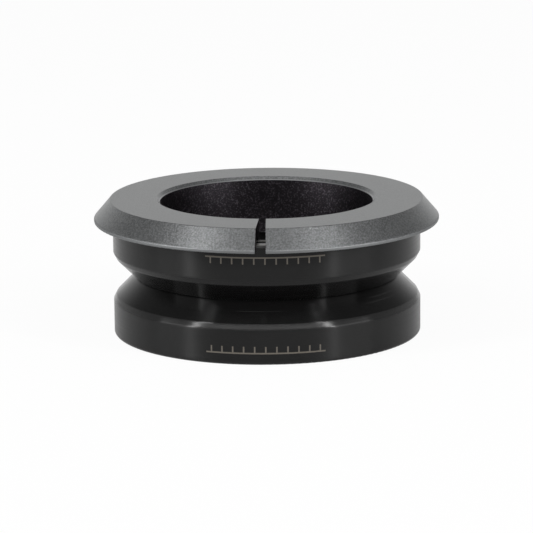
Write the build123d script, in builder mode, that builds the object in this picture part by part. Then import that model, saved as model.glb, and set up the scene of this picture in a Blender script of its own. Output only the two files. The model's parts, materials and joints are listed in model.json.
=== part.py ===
from build123d import *
from math import cos, pi, radians, sin, sqrt, tan
import os

# Integrated bicycle headset in millimetres, +Z up. Two angular-contact cartridge bearings stand small
# face to small face, and a split dust cover sits in the upper one. The origin is the centre of the face
# the stack stands on, every round piece shares the Z axis, and the cover's slit faces -Y.

# Radial chain, from the steerer tube outward
steerer_d = 28.6             # 1 1/8 inch steerer tube
steerer_clearance = 0.15     # radial gap between steerer and cover bore
nose_wall = 0.65             # wall of the cover's nose
nose_clearance = 0.15        # radial gap between nose and bearing bore
race_section = 5.65          # bearing bore to bearing outside
cover_overhang = 2.52        # cover rim past the bearing outside

# Cartridge bearing, heights measured from its large face
bearing_height = 8.0
face_recess = 0.05           # inner race set back from the outer race's faces
seat_angle = 45.0            # outer seat cone and inner chamfer, from the axis
cone_depth = 2.97            # radial depth of the outer seat cone at the small face
lead_depth = 0.37            # lead-in bevel between cylinder and cone, radial
lead_height = 0.73           # lead-in bevel between cylinder and cone, axial
large_edge_round = 0.4       # outside edge of the large face
inner_face_width = 0.5       # flat left on the inner race beside its chamfer
edge_break = 0.15            # small chamfers on race edges
bore_edge = 0.3              # chamfer between the bearing bore and the small face

# Balls and raceways
ball_d = 3.175               # 1/8 inch ball
ball_count = 20
ball_drop = 0.2              # ball row from mid height toward the large face
pitch_inset = 0.375          # pitch circle inside the middle of the section
contact_angle = 45.0         # line from race to race through the ball, from the radial plane
groove_ratio = 0.52          # raceway radius as a share of the ball diameter
ball_film = 0.04             # gap at the contact line
low_shoulder = 0.08          # shoulder heights as shares of the ball diameter
inner_high_shoulder = 0.39
outer_high_shoulder = 0.595

# Crown cage
cage_gap = 0.2               # radial gap to both races
cage_seal_gap = 0.2          # axial gap to the face seal
cage_wrap = 0.8              # how far the horns reach past the ball centres
pocket_clearance = 0.08      # gap between ball and pocket
horn_notch = 0.7             # width of the slot between neighbouring horns
horn_notch_depth = 1.2

# Seals
seal_recess = 0.2            # set back from the bearing face
seal_thickness = 0.75
seal_bead_inset = 0.15       # bead thinner than the seal on each side
seal_groove_depth = 0.25     # groove in the outer race that holds the bead
seal_fit = 0.03              # gap round the bead
seal_lip_clearance = 0.05    # gap between lip and inner race
seal_lip_taper = 0.3         # slope on the lip's outer side
seal_dish_depth = 0.12       # shallow ring pressed into the outer side
seal_dish_margin = 0.2       # flat left on each side of the ring

# Split cover
cover_stack = 2.41           # top face above the upper bearing
cover_bevel = 2.18           # radial width of the sloping side
rim_height = 0.41            # upright band at the rim
rim_drop = 0.55              # rim's lower edge below the bearing's top face
lip_gap = 0.35               # radial gap between rim lip and bearing
cover_clearance = 0.3        # underside above the upper outer race
bore_chamfer = 0.5
cone_film = 0.03             # gap between cover cone and inner race chamfer
nose_reach = 5.5             # nose below the bearing's top face
cover_edge_round = 0.15      # rim and top edge
slit_angle = 3.5             # sector cut out of the cover

# Sizes worked out from the above
cover_bore_r = steerer_d / 2 + steerer_clearance
nose_r = cover_bore_r + nose_wall
bearing_bore_r = nose_r + nose_clearance
bearing_r = bearing_bore_r + race_section
rim_r = bearing_r + cover_overhang
stack_height = 2 * bearing_height
cover_top = stack_height + cover_stack

ball_r = ball_d / 2
pitch_r = bearing_bore_r + race_section / 2 - pitch_inset
ball_height = bearing_height / 2 - ball_drop
groove_r = groove_ratio * ball_d
groove_shift = groove_r - ball_r - ball_film
contact_r = cos(radians(contact_angle))
contact_z = sin(radians(contact_angle))

inner_low_r = pitch_r - ball_r + low_shoulder * ball_d
inner_high_r = pitch_r - ball_r + inner_high_shoulder * ball_d
outer_low_r = pitch_r + ball_r - low_shoulder * ball_d
outer_high_r = pitch_r + ball_r - outer_high_shoulder * ball_d

slope = tan(radians(seat_angle))
inner_chamfer = inner_high_r - inner_face_width - bearing_bore_r
bead_start = seal_recess + seal_bead_inset
bead_end = seal_recess + seal_thickness - seal_bead_inset

# Section planes: X outward, Y from a bearing's large face toward its small face
lower_section = Plane.XZ
upper_section = Plane(origin=(0, 0, stack_height), x_dir=(1, 0, 0), z_dir=(0, 1, 0))


def save(piece, name):
    piece.part.label = name
    export_step(piece.part, f"parts/{name}.step")


def raceway_height(land_r, centre_r, centre_z, side):
    """Height at which a raceway arc meets a land, on the large-face side (-1) or the small one (1)."""
    return centre_z + side * sqrt(groove_r**2 - (land_r - centre_r) ** 2)


def outer_race(section):
    centre_r = pitch_r - groove_shift * contact_r
    centre_z = ball_height - groove_shift * contact_z
    cone_start = bearing_height - (cone_depth - lead_depth) / slope
    small_bead_end = bearing_height - bead_start + seal_fit
    small_bead_start = bearing_height - bead_end - seal_fit
    low_groove_r = outer_low_r + seal_groove_depth
    high_groove_r = outer_high_r + seal_groove_depth
    run_in = (outer_low_r, raceway_height(outer_low_r, centre_r, centre_z, -1))
    deepest = (centre_r + groove_r * contact_r, centre_z + groove_r * contact_z)
    run_out = (outer_high_r, raceway_height(outer_high_r, centre_r, centre_z, 1))
    round_r = bearing_r - large_edge_round
    round_mid = (round_r + large_edge_round * cos(pi / 4), large_edge_round * (1 - sin(pi / 4)))
    with BuildPart() as race:
        with BuildSketch(section):
            with BuildLine():
                Polyline(
                    run_out,
                    (outer_high_r, small_bead_start),
                    (high_groove_r, small_bead_start),
                    (high_groove_r, small_bead_end),
                    (outer_high_r, small_bead_end),
                    (outer_high_r, bearing_height - edge_break),
                    (outer_high_r + edge_break, bearing_height),
                    (bearing_r - cone_depth, bearing_height),
                    (bearing_r - lead_depth, cone_start),
                    (bearing_r, cone_start - lead_height),
                    (bearing_r, large_edge_round),
                )
                ThreePointArc((bearing_r, large_edge_round), round_mid, (round_r, 0))
                Polyline(
                    (round_r, 0),
                    (outer_low_r + edge_break, 0),
                    (outer_low_r, edge_break),
                    (outer_low_r, bead_start - seal_fit),
                    (low_groove_r, bead_start - seal_fit),
                    (low_groove_r, bead_end + seal_fit),
                    (outer_low_r, bead_end + seal_fit),
                    run_in,
                )
                ThreePointArc(run_in, deepest, run_out)
            make_face()
        revolve(axis=Axis.Z)
    return race


def inner_race(section):
    centre_r = pitch_r + groove_shift * contact_r
    centre_z = ball_height + groove_shift * contact_z
    large_face = face_recess
    small_face = bearing_height - face_recess
    run_in = (inner_low_r, raceway_height(inner_low_r, centre_r, centre_z, 1))
    deepest = (centre_r - groove_r * contact_r, centre_z - groove_r * contact_z)
    run_out = (inner_high_r, raceway_height(inner_high_r, centre_r, centre_z, -1))
    with BuildPart() as race:
        with BuildSketch(section):
            with BuildLine():
                Polyline(
                    run_out,
                    (inner_high_r, large_face + edge_break),
                    (inner_high_r - edge_break, large_face),
                    (bearing_bore_r + inner_chamfer, large_face),
                    (bearing_bore_r, large_face + inner_chamfer / slope),
                    (bearing_bore_r, small_face - bore_edge),
                    (bearing_bore_r + bore_edge, small_face),
                    (inner_low_r - edge_break, small_face),
                    (inner_low_r, small_face - edge_break),
                    run_in,
                )
                ThreePointArc(run_in, deepest, run_out)
            make_face()
        revolve(axis=Axis.Z)
    return race


def seal(section, outside, inward, lip_r, mouth_r):
    """Ring seal whose outer side lies at height outside and whose thickness runs along inward (1 or -1)."""
    back = outside + inward * seal_thickness
    dish = outside + inward * seal_dish_depth
    bead_r = mouth_r + seal_groove_depth - seal_fit
    neck_r = mouth_r - seal_fit
    dish_in = lip_r + seal_lip_taper + seal_dish_margin
    dish_out = neck_r - seal_dish_margin
    with BuildPart() as ring:
        with BuildSketch(section):
            with BuildLine():
                Polyline(
                    (lip_r, back),
                    (lip_r, outside + inward * seal_lip_taper),
                    (lip_r + seal_lip_taper, outside),
                    (dish_in, outside),
                    (dish_in, dish),
                    (dish_out, dish),
                    (dish_out, outside),
                    (neck_r, outside),
                    (neck_r, outside + inward * seal_bead_inset),
                    (bead_r, outside + inward * seal_bead_inset),
                    (bead_r, back - inward * seal_bead_inset),
                    (neck_r, back - inward * seal_bead_inset),
                    (neck_r, back),
                    close=True,
                )
            make_face()
        revolve(axis=Axis.Z)
    return ring


def cage(section, ball_z):
    """Crown cage: a ring behind the balls with a pair of horns round each of them."""
    ring_start = seal_recess + seal_thickness + cage_seal_gap
    ring_end = ball_height + cage_wrap
    ring_in = inner_high_r + cage_gap
    ring_out = outer_low_r - cage_gap
    horn_z = ball_z + (ring_end - ball_height) * (1 if ball_z < bearing_height else -1)
    with BuildPart() as ring:
        with BuildSketch(section):
            with BuildLine():
                Polyline(
                    (ring_in, ring_start),
                    (ring_out, ring_start),
                    (ring_out, ring_end),
                    (ring_in, ring_end),
                    close=True,
                )
            make_face()
        revolve(axis=Axis.Z)
        with Locations((0, 0, ball_z)):
            with PolarLocations(pitch_r, ball_count):
                Sphere(ball_r + pocket_clearance, mode=Mode.SUBTRACT)
        with Locations((0, 0, horn_z)):
            with PolarLocations(pitch_r, ball_count, start_angle=180 / ball_count):
                Box(race_section, horn_notch, 2 * horn_notch_depth, mode=Mode.SUBTRACT)
    return ring


def ball(index, ball_z):
    angle = 2 * pi * index / ball_count
    with BuildPart() as sphere:
        with Locations((pitch_r * cos(angle), pitch_r * sin(angle), ball_z)):
            Sphere(ball_r)
    return sphere


def split_cover():
    """Dust cover, compression cone and nose in one piece, cut through by the slit."""
    rim_bottom = stack_height - rim_drop
    underside = stack_height + cover_clearance
    lip_r = bearing_r + lip_gap
    nose_end = stack_height - nose_reach
    chamfer_end = stack_height - face_recess - inner_chamfer / slope
    cone_shift = cone_film / cos(radians(seat_angle))
    cone_top_r = bearing_bore_r + (underside - chamfer_end) * slope - cone_shift
    cone_end = chamfer_end + (nose_r - bearing_bore_r + cone_shift) / slope
    slit_reach = 2 * rim_r
    slit_half = slit_reach * tan(radians(slit_angle / 2))
    with BuildPart() as cover:
        with BuildSketch(Plane.XZ) as profile:
            with BuildLine():
                Polyline(
                    (cover_bore_r, nose_end),
                    (nose_r, nose_end),
                    (nose_r, cone_end),
                    (cone_top_r, underside),
                    (lip_r, underside),
                    (lip_r, rim_bottom),
                    (rim_r, rim_bottom),
                    (rim_r, rim_bottom + rim_height),
                    (rim_r - cover_bevel, cover_top),
                    (cover_bore_r + bore_chamfer, cover_top),
                    (cover_bore_r, cover_top - bore_chamfer),
                    close=True,
                )
            make_face()
            rim_corners = profile.vertices().group_by(Axis.X)[-1]
            top_corner = profile.vertices().group_by(Axis.Y)[-1].sort_by(Axis.X)[-1]
            fillet([*rim_corners, top_corner], cover_edge_round)
        revolve(axis=Axis.Z)
        with BuildSketch(Plane.XY):
            Polygon((0, 0), (-slit_half, -slit_reach), (slit_half, -slit_reach), align=None)
        extrude(amount=cover_top + cover_stack, mode=Mode.SUBTRACT)
    return cover


os.makedirs("parts", exist_ok=True)

# The same cartridge twice: one standing on its large face, one turned over on top of it
bearings = (
    ("lower", lower_section, ball_height),
    ("upper", upper_section, stack_height - ball_height),
)
for side, section, ball_z in bearings:
    save(outer_race(section), f"{side}_outer_race")
    save(inner_race(section), f"{side}_inner_race")
    face_lip_r = inner_high_r + seal_lip_clearance
    save(seal(section, seal_recess, 1, face_lip_r, outer_low_r), f"{side}_face_seal")
    neck_lip_r = inner_low_r + seal_lip_clearance
    neck_outside = bearing_height - seal_recess
    save(seal(section, neck_outside, -1, neck_lip_r, outer_high_r), f"{side}_neck_seal")
    save(cage(section, ball_z), f"{side}_cage")
    for index in range(ball_count):
        save(ball(index, ball_z), f"{side}_ball_{index + 1:02d}")

save(split_cover(), "split_cover")
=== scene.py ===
import json
from math import cos, pi, radians, sin, tan
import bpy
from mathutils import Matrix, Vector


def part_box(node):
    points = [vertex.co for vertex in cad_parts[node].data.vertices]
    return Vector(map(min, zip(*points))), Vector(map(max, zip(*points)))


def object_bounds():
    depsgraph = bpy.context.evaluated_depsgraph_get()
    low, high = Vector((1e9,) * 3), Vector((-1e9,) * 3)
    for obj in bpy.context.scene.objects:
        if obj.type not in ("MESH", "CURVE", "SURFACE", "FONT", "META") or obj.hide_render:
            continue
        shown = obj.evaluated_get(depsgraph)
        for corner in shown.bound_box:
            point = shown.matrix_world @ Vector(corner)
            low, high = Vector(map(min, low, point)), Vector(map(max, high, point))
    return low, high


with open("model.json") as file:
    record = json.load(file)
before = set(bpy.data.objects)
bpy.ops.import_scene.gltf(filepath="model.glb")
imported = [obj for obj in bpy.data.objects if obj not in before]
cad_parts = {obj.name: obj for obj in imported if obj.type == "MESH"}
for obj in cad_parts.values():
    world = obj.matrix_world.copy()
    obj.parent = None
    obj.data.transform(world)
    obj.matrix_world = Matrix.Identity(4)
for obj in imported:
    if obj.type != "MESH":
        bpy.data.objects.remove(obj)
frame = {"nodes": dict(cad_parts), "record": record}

from types import SimpleNamespace

import bpy
from mathutils import Quaternion, Vector

# Dressing of a bicycle headset in metres: materials for the CAD nodes, a camera, a floor and soft light
cad_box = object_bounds()
MM = 0.001


def grey(level):
    return (level, level, level, 1.0)


def rgb(red, green, blue):
    return (red, green, blue, 1.0)


# Camera, read from the photograph
IMAGE_PX = 533
FOCAL_PX = 3428.8
SENSOR_MM = 36.0
VIEW_AZIMUTH = 2.12
VIEW_ELEVATION = 12.329
VIEW_ROLL = -0.553
VIEW_DISTANCE = 0.4676
VIEW_TARGET = Vector((-0.064, 0.0, 8.707)) * MM
CLIP_NEAR = 0.01
CLIP_FAR = 50.0

# Places on the object, from the frame
cover_low, cover_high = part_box("split_cover")
race_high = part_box("lower_outer_race")[1]
mounts = {mount["name"]: mount for mount in frame["record"]["mounts"]}
BORE_R = mounts["steerer_clamp"]["dims"]["r_mm"] * MM
BEARING_R = race_high[0]
STACK_TOP = 2 * race_high[2]
RIM_R = cover_high[0]
COVER_TOP = cad_box[1][2]
NOSE_END = cover_low[2]

# Where the cover's finish changes: radii, heights, and distances from the places above
BORE_BLACK = 0.005 * MM
BORE_GREY = 0.03 * MM
CONE_TOP_R = 17.3 * MM
CONE_FADE = 0.1 * MM
NOSE_TOP = STACK_TOP + 0.28 * MM
NOSE_FADE = 0.08 * MM
SLIT_HALF_ANGLE = radians(1.78)
FACED_DEPTH = 0.03 * MM
RIM_START = 0.16 * MM
RIM_FULL = 0.04 * MM
RIM_TOP = STACK_TOP - 0.14 * MM
RIM_FADE = 0.08 * MM
# Painted highlight along the edge beside the bore: full up to the first distance, gone at the second
EDGE_HIGHLIGHT_FULL = 0.1 * MM
EDGE_HIGHLIGHT_GONE = 0.15 * MM
# Painted glint at the nose's end: full up to the first distance, gone at the second
NOSE_GLINT_FULL = 0.1 * MM
NOSE_GLINT_GONE = 0.2 * MM

# Where the races' finish changes: radii, and distances from the places above
OUTSIDE_DEPTH = 0.02 * MM
LEAD_DEPTH = 0.42 * MM
# Depth of the painted highlight on the upper outer race's top edge
LARGE_EDGE_HIGHLIGHT_DEPTH = 0.42 * MM
END_DEPTH = 0.07 * MM
INNER_END_DEPTH = 0.2 * MM
INNER_R = 17.5 * MM
INNER_FADE = 0.1 * MM

# Etched scale on both outer races, heights from a bearing's large face
SCALE_CENTRE = radians(1.4)
SCALE_HALF_ANGLE = radians(22.0)
SCALE_STEP = radians(4.0)
SCALE_HEIGHT = 1.6 * MM
STROKE = 0.2 * MM
STROKE_LENGTH = 0.9 * MM

# Range that a noise mostly keeps to, and the rays that soften an edge
USUAL_NOISE = (0.3, 0.7)
BEVEL_SAMPLES = 8

# Cover finish
COVER_GRAIN = dict(scale=4200.0, detail=3.0, roughness=0.6)
COVER_CLOUD = dict(scale=90.0, detail=3.0)
BORE_LINES = dict(along=14000.0, around=1500.0)
# Dashes of the painted glint at the nose's end
NOSE_GLINT_DASHES = dict(scale=700.0)
SPECK_RANGE = (0.34, 0.68)
GLINT_RANGE = (0.48, 0.72)
CLOUD_RANGE = (0.35, 0.7)
GLINT_DASH_RANGE = (0.42, 0.58)
CLOUD_SHARE = 0.25
# Share of the rim's painted shade kept above the upright band
RIM_SHADE = 0.3
SLOPE_GREY = (rgb(0.194, 0.199, 0.202), rgb(0.336, 0.344, 0.347))
FACED_GREY = (rgb(0.166, 0.171, 0.173), rgb(0.279, 0.286, 0.288))
CLOUD_GREY = rgb(0.225, 0.231, 0.234)
# Painted shade of the upright rim, darker than the coat because of how the light falls on it
BAND_PAINTED_SHADE = rgb(0.172, 0.177, 0.18)
# Painted highlight along the edge beside the bore
EDGE_HIGHLIGHT_GREY = rgb(0.42, 0.43, 0.435)
BORE_TINT = (rgb(0.051, 0.046, 0.0525), rgb(0.155, 0.139, 0.159))
# Painted glint at the nose's end
NOSE_GLINT_GREY = rgb(0.42, 0.42, 0.43)
COVER_ROUGHNESS = (0.28, 0.365)
RIM_ROUGHNESS = (0.46, 0.56)
COVER_GRAIN_HEIGHT = 1.2
BORE_GRAIN_HEIGHT = 2.2
BORE_LINE_HEIGHT = 0.35
COVER_RELIEF = dict(distance=0.024 * MM, strength=0.8)

# Race finish
RACE_SKEW = 0.37
RACE_LINES = dict(along=16000.0, around=60.0)
RACE_RINGS = dict(along=4200.0, around=45.0, detail=1.0)
RACE_CLOUD = dict(scale=140.0, detail=3.0)
RACE_SPECKS = dict(scale=5200.0)
RACE_SPECK_RANGE = (0.62, 0.74)
RING_RANGE = (0.68, 0.73)
RACE_SPECK_SHARE = 0.6
OUTSIDE_BLACK = (grey(0.0048), grey(0.0066))
RACE_SPECK_GREY = grey(0.011)
# Painted light and shade: lead-in bevel lighter on the lower race, darker on the upper race that faces down
LEAD_LIT_AND_SHADED = (grey(0.014), grey(0.004))
# Painted highlight on the upper outer race's top edge
LARGE_EDGE_HIGHLIGHT = grey(0.06)
CONE_BLACK = (grey(0.003), grey(0.0115))
END_GREY = (rgb(0.19, 0.185, 0.175), rgb(0.3, 0.295, 0.28))
SCALE_GREY = rgb(0.105, 0.094, 0.08)
RACE_IOR = 1.31
RACE_STRETCH = 0.9
QUARTER_TURN = 0.25
OUTSIDE_ROUGHNESS = (0.29, 0.35)
CONE_ROUGHNESS = (0.175, 0.21)
LEAD_ROUGHNESS = (0.155, 0.2)
RACE_EDGE_ROUND = 0.45 * MM
RACE_RELIEF = dict(distance=0.002 * MM, strength=0.1)

# Finish of the inner pieces
RUBBER_GRAIN = dict(scale=3000.0, detail=3.0)
RUBBER_CLOUD = dict(scale=200.0)
RUBBER_BLACK = (grey(0.012), grey(0.022))
RUBBER_ROUGHNESS = (0.5, 0.68)
RUBBER_RELIEF = dict(distance=0.02 * MM, strength=0.3)
BALL_HAZE = dict(scale=900.0, detail=3.0)
BALL_STEEL = (grey(0.56), grey(0.64))
BALL_ROUGHNESS = (0.06, 0.14)
NYLON_CLOUD = dict(scale=300.0, detail=3.0)
NYLON_GRAIN = dict(scale=2500.0)
NYLON_CREAM = (rgb(0.62, 0.59, 0.5), rgb(0.72, 0.69, 0.6))
NYLON_ROUGHNESS = (0.38, 0.52)
NYLON_RELIEF = dict(distance=0.01 * MM, strength=0.2)

# Studio: floor, world by direction, and lamps
FLOOR_SIZE = 6.0
PAPER = grey(0.88)
PAPER_SEEN = 0.94
PAPER_MIRRORED = 0.4
WORLD_DEPTH = dict(low=-0.4, high=0.7, to_low=0.45, to_high=0.97)
WORLD_ASIDE = dict(low=0.15, high=0.55, to_low=1.0, to_high=0.62)
WORLD_RIGHT = dict(low=-0.7, high=0.7, to_low=1.0, to_high=0.86)
WORLD_RISE = dict(low=0.18, high=0.5)
WORLD_OVERHEAD = grey(0.24)
SIDE_PANEL = dict(elevation=14.0, distance=1.0, width=0.6, height=0.4)
SIDE_CORE = dict(elevation=29.5, distance=0.95, width=0.04, height=0.88)
FRONT_BOX = dict(elevation=42.5, distance=0.8, width=1.6, height=0.06)
TOP_BOX = dict(elevation=88.0, distance=0.8, width=0.6, height=0.6)
LAMPS = {
    "left_panel": dict(SIDE_PANEL, azimuth=-68.0, radiance=3.0),
    "left_core": dict(SIDE_CORE, azimuth=-57.0, radiance=36.5),
    "right_panel": dict(SIDE_PANEL, azimuth=68.0, radiance=3.3),
    "right_core": dict(SIDE_CORE, azimuth=52.0, radiance=34.0),
    "front_box": dict(FRONT_BOX, azimuth=2.0, radiance=8.3),
    "top_box": dict(TOP_BOX, azimuth=0.0, radiance=0.3),
}


def direction(azimuth, elevation):
    """Unit vector toward a point of the sky: azimuth 0 is -Y, 90 is +X."""
    a, e = radians(azimuth), radians(elevation)
    return Vector((sin(a) * cos(e), -cos(a) * cos(e), sin(e)))


class Graph:
    """Short names for the shader nodes used below."""

    def __init__(self, owner):
        owner.use_nodes = True
        self.tree = owner.node_tree

    def feed(self, socket, value):
        if isinstance(value, bpy.types.NodeSocket):
            self.tree.links.new(value, socket)
        else:
            socket.default_value = value

    def put(self, kind, *values, **settings):
        """New node with its first sockets fed in order."""
        node = self.tree.nodes.new(kind)
        for name, value in settings.items():
            setattr(node, name, value)
        for socket, value in zip(node.inputs, values):
            self.feed(socket, value)
        return node

    def math(self, operation, *values):
        return self.put("ShaderNodeMath", *values, operation=operation).outputs[0]

    def remap(self, value, low, high, to_low=0.0, to_high=1.0):
        """Smooth step from to_low at low to to_high at high."""
        ends = (low, high, to_low, to_high)
        return self.put("ShaderNodeMapRange", value, *ends, interpolation_type="SMOOTHSTEP").outputs[0]

    def spread(self, noise, low=0.0, high=1.0):
        """Usual range of a noise, stretched to run from low to high."""
        return self.remap(noise, *USUAL_NOISE, low, high)

    def noise(self, vector, scale, detail=2.0, roughness=0.5):
        node = self.put("ShaderNodeTexNoise", vector)
        node.inputs["Scale"].default_value = scale
        node.inputs["Detail"].default_value = detail
        node.inputs["Roughness"].default_value = roughness
        return node.outputs[0]

    def mix(self, factor, a, b):
        node = self.put("ShaderNodeMix", data_type="RGBA")
        self.feed(node.inputs["Factor"], factor)
        self.feed(node.inputs["A"], a)
        self.feed(node.inputs["B"], b)
        return node.outputs["Result"]

    def rounded(self, radius):
        """Normal with edges softened over a radius."""
        node = self.put("ShaderNodeBevel", samples=BEVEL_SAMPLES)
        node.inputs["Radius"].default_value = radius
        return node.outputs[0]

    def bump(self, height, distance, strength, normal=None):
        node = self.put("ShaderNodeBump")
        if normal:
            self.feed(node.inputs["Normal"], normal)
        self.feed(node.inputs["Height"], height)
        node.inputs["Distance"].default_value = distance
        node.inputs["Strength"].default_value = strength
        return node.outputs[0]

    def turned(self, at, depth, along, around, detail=2.0):
        """Noise drawn out into lines round the Z axis."""
        x = self.math("MULTIPLY", at.x, around)
        y = self.math("MULTIPLY", at.y, around)
        z = self.math("MULTIPLY", depth, along)
        return self.noise(self.put("ShaderNodeCombineXYZ", x, y, z).outputs[0], 1.0, detail)

    def place(self):
        """Point on the object, its parts and its distance from the Z axis."""
        point = self.put("ShaderNodeTexCoord").outputs["Object"]
        x, y, z = self.put("ShaderNodeSeparateXYZ", point).outputs
        flat = self.put("ShaderNodeCombineXYZ", x, y).outputs[0]
        r = self.put("ShaderNodeVectorMath", flat, operation="LENGTH").outputs["Value"]
        return SimpleNamespace(point=point, x=x, y=y, z=z, r=r)


def blank(name):
    material = bpy.data.materials.new(name)
    graph = Graph(material)
    return material, graph, graph.tree.nodes["Principled BSDF"]


# Materials
def cover_black(g, at):
    """Mask of the cover's black parts: bore, cone, nose and slit."""
    bore = g.remap(at.r, BORE_R + BORE_BLACK, BORE_R + BORE_GREY, 1.0, 0.0)
    inside = g.remap(at.r, CONE_TOP_R, CONE_TOP_R + CONE_FADE, 1.0, 0.0)
    under = g.remap(at.z, NOSE_TOP - NOSE_FADE, NOSE_TOP, 1.0, 0.0)
    nose = g.math("MULTIPLY", inside, under)
    reach = g.math("MULTIPLY", at.y, -tan(SLIT_HALF_ANGLE))
    slit = g.math("LESS_THAN", g.math("ABSOLUTE", at.x), reach)
    return g.math("MAXIMUM", bore, g.math("MAXIMUM", nose, slit))


def cover_coat(g, at, grain, rim):
    """Grey coat: faced top, painted shade on the upright rim, painted highlight by the bore's edge."""
    speck = g.remap(grain, *SPECK_RANGE)
    top = g.math("GREATER_THAN", at.z, COVER_TOP - FACED_DEPTH)
    coat = g.mix(top, g.mix(speck, *SLOPE_GREY), g.mix(speck, *FACED_GREY))
    cloud = g.noise(at.point, **COVER_CLOUD)
    coat = g.mix(g.remap(cloud, *CLOUD_RANGE, 0.0, CLOUD_SHARE), coat, CLOUD_GREY)
    # Painted shade on the upright rim, fading out above the band
    low = g.remap(at.z, RIM_TOP - RIM_FADE, RIM_TOP, 1.0, RIM_SHADE)
    coat = g.mix(g.math("MULTIPLY", rim, low), coat, BAND_PAINTED_SHADE)
    # Painted highlight along the edge beside the bore
    edge = g.remap(at.r, BORE_R + EDGE_HIGHLIGHT_FULL, BORE_R + EDGE_HIGHLIGHT_GONE, 1.0, 0.0)
    edge_highlight = g.math("MULTIPLY", edge, g.math("GREATER_THAN", at.z, STACK_TOP))
    return g.mix(edge_highlight, coat, EDGE_HIGHLIGHT_GREY)


def cover_dark(g, at, grain):
    """Black with fine glints, and a painted glint in patches at the nose's end."""
    dark = g.mix(g.remap(grain, *GLINT_RANGE), *BORE_TINT)
    # Painted glint in dashes at the nose's end
    end = g.remap(at.z, NOSE_END + NOSE_GLINT_FULL, NOSE_END + NOSE_GLINT_GONE, 1.0, 0.0)
    glint_dashes = g.remap(g.noise(at.point, **NOSE_GLINT_DASHES), *GLINT_DASH_RANGE)
    return g.mix(g.math("MULTIPLY", end, glint_dashes), dark, NOSE_GLINT_GREY)


def blasted_cover():
    """Bead-blasted grey anodised aluminium, black inside the bore, on the cone and nose and in the slit."""
    material, g, shader = blank("blasted_cover")
    at = g.place()
    grain = g.noise(at.point, **COVER_GRAIN)
    black = cover_black(g, at)
    rim = g.remap(at.r, RIM_R - RIM_START, RIM_R - RIM_FULL)
    colour = g.mix(black, cover_coat(g, at, grain, rim), cover_dark(g, at, grain))
    g.feed(shader.inputs["Base Color"], colour)
    shader.inputs["Metallic"].default_value = 1.0
    rough = g.mix(rim, g.spread(grain, *COVER_ROUGHNESS), g.spread(grain, *RIM_ROUGHNESS))
    g.feed(shader.inputs["Roughness"], rough)
    blasted = g.math("MULTIPLY", grain, COVER_GRAIN_HEIGHT)
    worked = g.math("MULTIPLY", grain, BORE_GRAIN_HEIGHT)
    worked = g.math("MULTIPLY_ADD", g.turned(at, at.z, **BORE_LINES), BORE_LINE_HEIGHT, worked)
    g.feed(shader.inputs["Normal"], g.bump(g.mix(black, blasted, worked), **COVER_RELIEF))
    return material


def etched_scale(g, at, height):
    """Mask of a plain ruled scale: a base line with short strokes standing on it."""
    angle = g.math("ARCTAN2", at.x, g.math("MULTIPLY", at.y, -1.0))
    angle = g.math("SUBTRACT", angle, SCALE_CENTRE)
    span = g.math("LESS_THAN", g.math("ABSOLUTE", angle), SCALE_HALF_ANGLE)
    above_base = g.math("SUBTRACT", height, SCALE_HEIGHT)
    base = g.math("LESS_THAN", g.math("ABSOLUTE", above_base), STROKE / 2)
    step = g.math("PINGPONG", angle, SCALE_STEP / 2)
    stroke = g.math("LESS_THAN", step, STROKE / BEARING_R / 2)
    standing = g.math("GREATER_THAN", above_base, 0.0)
    short = g.math("LESS_THAN", above_base, STROKE_LENGTH)
    stroke = g.math("MULTIPLY", stroke, g.math("MULTIPLY", standing, short))
    return g.math("MULTIPLY", span, g.math("MAXIMUM", base, stroke))


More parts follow.
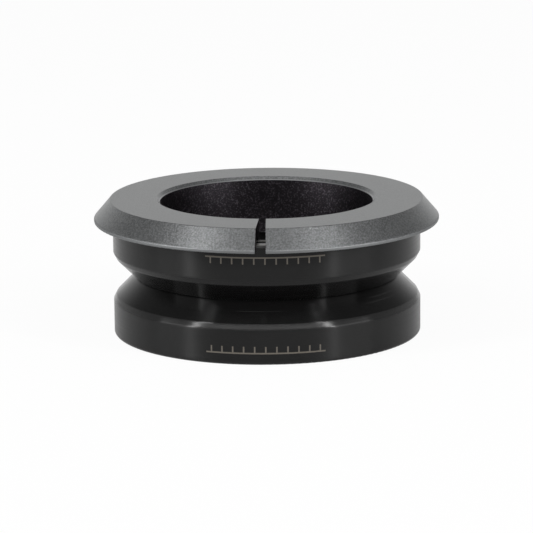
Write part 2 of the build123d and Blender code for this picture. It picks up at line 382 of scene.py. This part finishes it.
def black_race():
    """Black-oxide bearing steel ground round its axis, plain etched scale on the front, painted light and
    shade at the top edge and lead-ins.
    """
    material, g, shader = blank("black_race")
    at = g.place()
    height = g.math("MINIMUM", at.z, g.math("SUBTRACT", STACK_TOP, at.z))
    outside = g.math("GREATER_THAN", at.r, BEARING_R - OUTSIDE_DEPTH)
    lead = g.math("GREATER_THAN", at.r, BEARING_R - LEAD_DEPTH)
    skewed = g.math("MULTIPLY_ADD", at.r, RACE_SKEW, at.z)
    lines = g.turned(at, skewed, **RACE_LINES)
    rings = g.turned(at, skewed, **RACE_RINGS)

    steel = g.mix(g.spread(g.noise(at.point, **RACE_CLOUD)), *OUTSIDE_BLACK)
    specks = g.noise(at.point, **RACE_SPECKS)
    steel = g.mix(g.remap(specks, *RACE_SPECK_RANGE, 0.0, RACE_SPECK_SHARE), steel, RACE_SPECK_GREY)
    upper = g.math("GREATER_THAN", at.z, STACK_TOP / 2)
    # Painted highlight on the upper outer race's top edge
    top = g.math("GREATER_THAN", at.z, STACK_TOP - LARGE_EDGE_HIGHLIGHT_DEPTH)
    # Painted light and shade on the lead-in bevels, painted highlight on the top edge
    edge = g.mix(top, g.mix(upper, *LEAD_LIT_AND_SHADED), LARGE_EDGE_HIGHLIGHT)
    cone = g.mix(g.remap(rings, *RING_RANGE), *CONE_BLACK)
    steel = g.mix(outside, g.mix(lead, cone, edge), steel)
    depth = g.remap(at.r, INNER_R, INNER_R + INNER_FADE, INNER_END_DEPTH, END_DEPTH)
    steel = g.mix(g.math("LESS_THAN", height, depth), steel, g.mix(lines, *END_GREY))
    mark = g.math("MULTIPLY", outside, etched_scale(g, at, height))
    g.feed(shader.inputs["Base Color"], g.mix(mark, steel, SCALE_GREY))

    shader.inputs["IOR"].default_value = RACE_IOR
    shader.inputs["Anisotropic"].default_value = RACE_STRETCH
    shader.inputs["Anisotropic Rotation"].default_value = QUARTER_TURN
    tangent = g.put("ShaderNodeTangent", direction_type="RADIAL", axis="Z")
    g.feed(shader.inputs["Tangent"], tangent.outputs[0])
    ground = g.mix(lead, g.spread(lines, *CONE_ROUGHNESS), g.spread(lines, *LEAD_ROUGHNESS))
    rough = g.mix(outside, ground, g.spread(lines, *OUTSIDE_ROUGHNESS))
    g.feed(shader.inputs["Roughness"], rough)
    relief = g.bump(lines, normal=g.rounded(RACE_EDGE_ROUND), **RACE_RELIEF)
    g.feed(shader.inputs["Normal"], relief)
    return material


def moulded_rubber():
    """Matt black rubber of the seals."""
    material, g, shader = blank("moulded_rubber")
    at = g.place()
    grain = g.noise(at.point, **RUBBER_GRAIN)
    cloud = g.noise(at.point, **RUBBER_CLOUD)
    g.feed(shader.inputs["Base Color"], g.mix(cloud, *RUBBER_BLACK))
    g.feed(shader.inputs["Roughness"], g.spread(grain, *RUBBER_ROUGHNESS))
    g.feed(shader.inputs["Normal"], g.bump(grain, **RUBBER_RELIEF))
    return material


def polished_ball():
    """Bright steel of the balls with a light haze."""
    material, g, shader = blank("polished_ball")
    haze = g.noise(g.place().point, **BALL_HAZE)
    g.feed(shader.inputs["Base Color"], g.mix(haze, *BALL_STEEL))
    shader.inputs["Metallic"].default_value = 1.0
    g.feed(shader.inputs["Roughness"], g.spread(haze, *BALL_ROUGHNESS))
    return material


def natural_nylon():
    """Undyed nylon of the cages."""
    material, g, shader = blank("natural_nylon")
    at = g.place()
    cloud = g.noise(at.point, **NYLON_CLOUD)
    grain = g.noise(at.point, **NYLON_GRAIN)
    g.feed(shader.inputs["Base Color"], g.mix(cloud, *NYLON_CREAM))
    g.feed(shader.inputs["Roughness"], g.spread(grain, *NYLON_ROUGHNESS))
    g.feed(shader.inputs["Normal"], g.bump(grain, **NYLON_RELIEF))
    return material


def dress():
    """Gives every CAD node its material by the record's slot."""
    finishes = {
        "cover_aluminium": blasted_cover(),
        "race_steel": black_race(),
        "seal_rubber": moulded_rubber(),
        "ball_steel": polished_ball(),
        "cage_nylon": natural_nylon(),
    }
    for entry in frame["record"]["subparts"]:
        mesh = frame["nodes"][entry["node"]].data
        mesh.materials.clear()
        mesh.materials.append(finishes[entry["material_slot"]])


# Studio
def white_paper():
    """White paper, lifted toward plain white where the camera or a mirror sees it."""
    material = bpy.data.materials.new("white_paper")
    g = Graph(material)
    g.tree.nodes.clear()
    output = g.put("ShaderNodeOutputMaterial")
    paper = g.put("ShaderNodeBsdfDiffuse")
    paper.inputs["Color"].default_value = PAPER
    glow = g.put("ShaderNodeEmission")
    rays = g.put("ShaderNodeLightPath").outputs
    mirrored = g.math("MAXIMUM", rays["Is Glossy Ray"], rays["Is Transmission Ray"])
    seen = g.math("MULTIPLY", rays["Is Camera Ray"], PAPER_SEEN)
    seen = g.math("MULTIPLY_ADD", mirrored, PAPER_MIRRORED, seen)
    blend = g.put("ShaderNodeMixShader", seen, paper.outputs[0], glow.outputs[0])
    g.feed(output.inputs["Surface"], blend.outputs[0])
    return material


def studio_floor():
    mesh = bpy.data.meshes.new("floor")
    half = FLOOR_SIZE / 2
    corners = [(-half, -half, 0), (half, -half, 0), (half, half, 0), (-half, half, 0)]
    mesh.from_pydata(corners, [], [(0, 1, 2, 3)])
    mesh.materials.append(white_paper())
    floor = bpy.data.objects.new("floor", mesh)
    bpy.context.scene.collection.objects.link(floor)


def studio_world():
    """White low behind the object, dimmer in front, at the sides, to the right and overhead."""
    world = bpy.data.worlds.new("studio")
    bpy.context.scene.world = world
    g = Graph(world)
    way = g.put("ShaderNodeTexCoord").outputs["Generated"]
    x, y, z = g.put("ShaderNodeSeparateXYZ", way).outputs
    low = g.remap(y, **WORLD_DEPTH)
    low = g.math("MULTIPLY", low, g.remap(g.math("ABSOLUTE", x), **WORLD_ASIDE))
    low = g.math("MULTIPLY", low, g.remap(x, **WORLD_RIGHT))
    level = g.mix(g.remap(z, **WORLD_RISE), low, WORLD_OVERHEAD)
    g.feed(g.tree.nodes["Background"].inputs["Color"], level)


def soft_light(name, azimuth, elevation, distance, width, height, radiance):
    """Rectangular lamp that faces the object, by the brightness of its face."""
    data = bpy.data.lights.new(name, "AREA")
    data.shape = "RECTANGLE"
    data.size = width
    data.size_y = height
    data.energy = radiance * pi * width * height
    lamp = bpy.data.objects.new(name, data)
    toward = direction(azimuth, elevation)
    lamp.location = VIEW_TARGET + toward * distance
    lamp.rotation_euler = toward.to_track_quat("Z", "Y").to_euler()
    bpy.context.scene.collection.objects.link(lamp)


def camera():
    data = bpy.data.cameras.new("camera")
    data.sensor_width = SENSOR_MM
    data.lens = FOCAL_PX / IMAGE_PX * SENSOR_MM
    data.clip_start = CLIP_NEAR
    data.clip_end = CLIP_FAR
    eye = bpy.data.objects.new("camera", data)
    toward = direction(VIEW_AZIMUTH, VIEW_ELEVATION)
    eye.location = VIEW_TARGET + toward * VIEW_DISTANCE
    look = toward.to_track_quat("Z", "Y") @ Quaternion((0, 0, 1), radians(VIEW_ROLL))
    eye.rotation_euler = look.to_euler()
    bpy.context.scene.collection.objects.link(eye)
    bpy.context.scene.camera = eye


dress()
studio_floor()
studio_world()
for lamp_name, lamp_settings in LAMPS.items():
    soft_light(lamp_name, **lamp_settings)
camera()
bpy.context.scene.view_settings.view_transform = "Standard"
